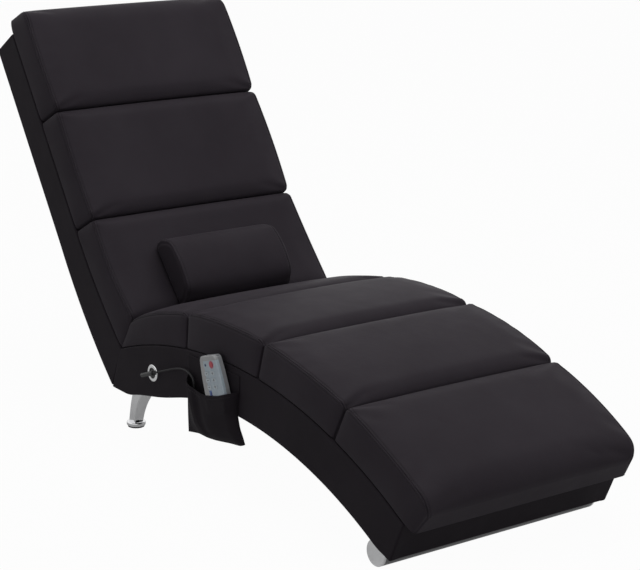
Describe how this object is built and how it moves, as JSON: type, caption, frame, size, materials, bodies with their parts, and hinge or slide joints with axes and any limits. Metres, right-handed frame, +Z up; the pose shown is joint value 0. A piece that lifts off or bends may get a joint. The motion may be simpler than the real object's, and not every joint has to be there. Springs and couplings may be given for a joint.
{
  "type": "massage lounge chair",
  "caption": "Low upholstered lounge chair with a reclined padded back, a curved padded seat, chrome feet, vibration motors, a wired handset in a side pocket and a loose lumbar pillow.",
  "frame": {"origin": "on the floor under the middle of the chair's box", "axes": "+X towards the foot end, +Y towards the sitter's left, +Z up"},
  "size_m": [1.559, 0.5818, 0.8898],
  "materials": {
    "pad_leatherette": "matte embossed leatherette",
    "cover_leatherette": "matte leatherette",
    "frame_wood": "plain plywood",
    "webbing_fabric": "woven",
    "chrome": "polished",
    "plain_steel": "zinc plated",
    "black_plastic": "fine grain",
    "board_laminate": "plain board",
    "black_rubber": "matte",
    "handset_silver": "satin silver",
    "handset_keys": "satin",
    "power_red": "satin",
    "window_lens": "clear"
  },
  "bodies": {
    "chair": {"back_brackets": "plain_steel", "back_cover": "cover_leatherette", "back_cross_rails": "frame_wood", "back_side_rail_left": "frame_wood", "back_side_rail_right": "frame_wood", "back_webbing": "webbing_fabric", "bracket_bolts": "plain_steel", "calf_pad": "pad_leatherette", "control_board": "board_laminate", "control_box": "black_plastic", "control_box_lid": "black_plastic", "dust_cover": "webbing_fabric", "foot_pad": "pad_leatherette", "front_foot_tube": "chrome", "handset_lead": "black_rubber", "handset_plug": "black_plastic", "head_pad": "pad_leatherette", "hip_pad": "pad_leatherette", "leg_feet": "chrome", "leg_glides": "black_rubber", "leg_screws": "plain_steel", "lumbar_pad": "pad_leatherette", "motor_cans": "plain_steel", "motor_clamps": "black_plastic", "pocket_back_panel": "cover_leatherette", "pocket_front_panel": "cover_leatherette", "power_inlet": "black_plastic", "rear_leg_left": "chrome", "rear_leg_right": "chrome", "seat_cover": "cover_leatherette", "seat_cross_rails": "frame_wood", "seat_front_board": "frame_wood", "seat_leg_plank": "frame_wood", "seat_side_panel_left": "frame_wood", "seat_side_panel_right": "frame_wood", "seat_webbing": "webbing_fabric", "shoulder_pad": "pad_leatherette", "socket_insert": "black_plastic", "socket_ring": "chrome", "thigh_pad": "pad_leatherette", "tube_bolts": "plain_steel", "tube_end_cap_left": "chrome", "tube_end_cap_right": "chrome"},
    "handset": {"handset_back_shell": "handset_silver", "handset_front_shell": "handset_silver", "handset_board": "board_laminate", "handset_window": "window_lens", "lead_strain_relief": "black_rubber"},
    "power_button_body": {"power_button": "power_red"},
    "pillow": {"lumbar_pillow": "pad_leatherette"},
    "key_1_body": {"key_1": "handset_keys"},
    "key_2_body": {"key_2": "handset_keys"},
    "key_3_body": {"key_3": "handset_keys"},
    "key_4_body": {"key_4": "handset_keys"},
    "key_5_body": {"key_5": "handset_keys"},
    "key_6_body": {"key_6": "handset_keys"},
    "shoulder_weight_body": {"shoulder_motor_weight": "plain_steel"},
    "lumbar_weight_body": {"lumbar_motor_weight": "plain_steel"},
    "thigh_weight_body": {"thigh_motor_weight": "plain_steel"},
    "calf_weight_body": {"calf_motor_weight": "plain_steel"}
  },
  "joints": [
    {"name": "handset_lift", "type": "slide", "parent": "chair", "child": "handset", "axis": [-0.3004, -0.0436, 0.9528], "range_m": [0, 0.12]},
    {"name": "pillow_lift", "type": "slide", "parent": "chair", "child": "pillow", "axis": [0, 0, 1], "range_m": [0, 0.4]},
    {"name": "power_press", "type": "slide", "parent": "handset", "child": "power_button_body", "axis": [-0.0131, 0.999, 0.0416], "range_m": [0, 0.001], "stiffness_N_per_m": 500},
    {"name": "key_1_press", "type": "slide", "parent": "handset", "child": "key_1_body", "axis": [-0.0131, 0.999, 0.0416], "range_m": [0, 0.001], "stiffness_N_per_m": 500},
    {"name": "key_2_press", "type": "slide", "parent": "handset", "child": "key_2_body", "axis": [-0.0131, 0.999, 0.0416], "range_m": [0, 0.001], "stiffness_N_per_m": 500},
    {"name": "key_3_press", "type": "slide", "parent": "handset", "child": "key_3_body", "axis": [-0.0131, 0.999, 0.0416], "range_m": [0, 0.001], "stiffness_N_per_m": 500},
    {"name": "key_4_press", "type": "slide", "parent": "handset", "child": "key_4_body", "axis": [-0.0131, 0.999, 0.0416], "range_m": [0, 0.001], "stiffness_N_per_m": 500},
    {"name": "key_5_press", "type": "slide", "parent": "handset", "child": "key_5_body", "axis": [-0.0131, 0.999, 0.0416], "range_m": [0, 0.001], "stiffness_N_per_m": 500},
    {"name": "key_6_press", "type": "slide", "parent": "handset", "child": "key_6_body", "axis": [-0.0131, 0.999, 0.0416], "range_m": [0, 0.001], "stiffness_N_per_m": 500},
    {"name": "shoulder_weight_spin", "type": "hinge", "parent": "chair", "child": "shoulder_weight_body", "pos_m": [-0.62991, 0.03, 0.62776], "axis": [0, 1, 0], "continuous": true},
    {"name": "lumbar_weight_spin", "type": "hinge", "parent": "chair", "child": "lumbar_weight_body", "pos_m": [-0.50549, 0.03, 0.4433], "axis": [0, 1, 0], "continuous": true},
    {"name": "thigh_weight_spin", "type": "hinge", "parent": "chair", "child": "thigh_weight_body", "pos_m": [0.21942, 0.03, 0.23025], "axis": [0, 1, 0], "continuous": true},
    {"name": "calf_weight_spin", "type": "hinge", "parent": "chair", "child": "calf_weight_body", "pos_m": [0.46208, 0.03, 0.18529], "axis": [0, 1, 0], "continuous": true}
  ]
}
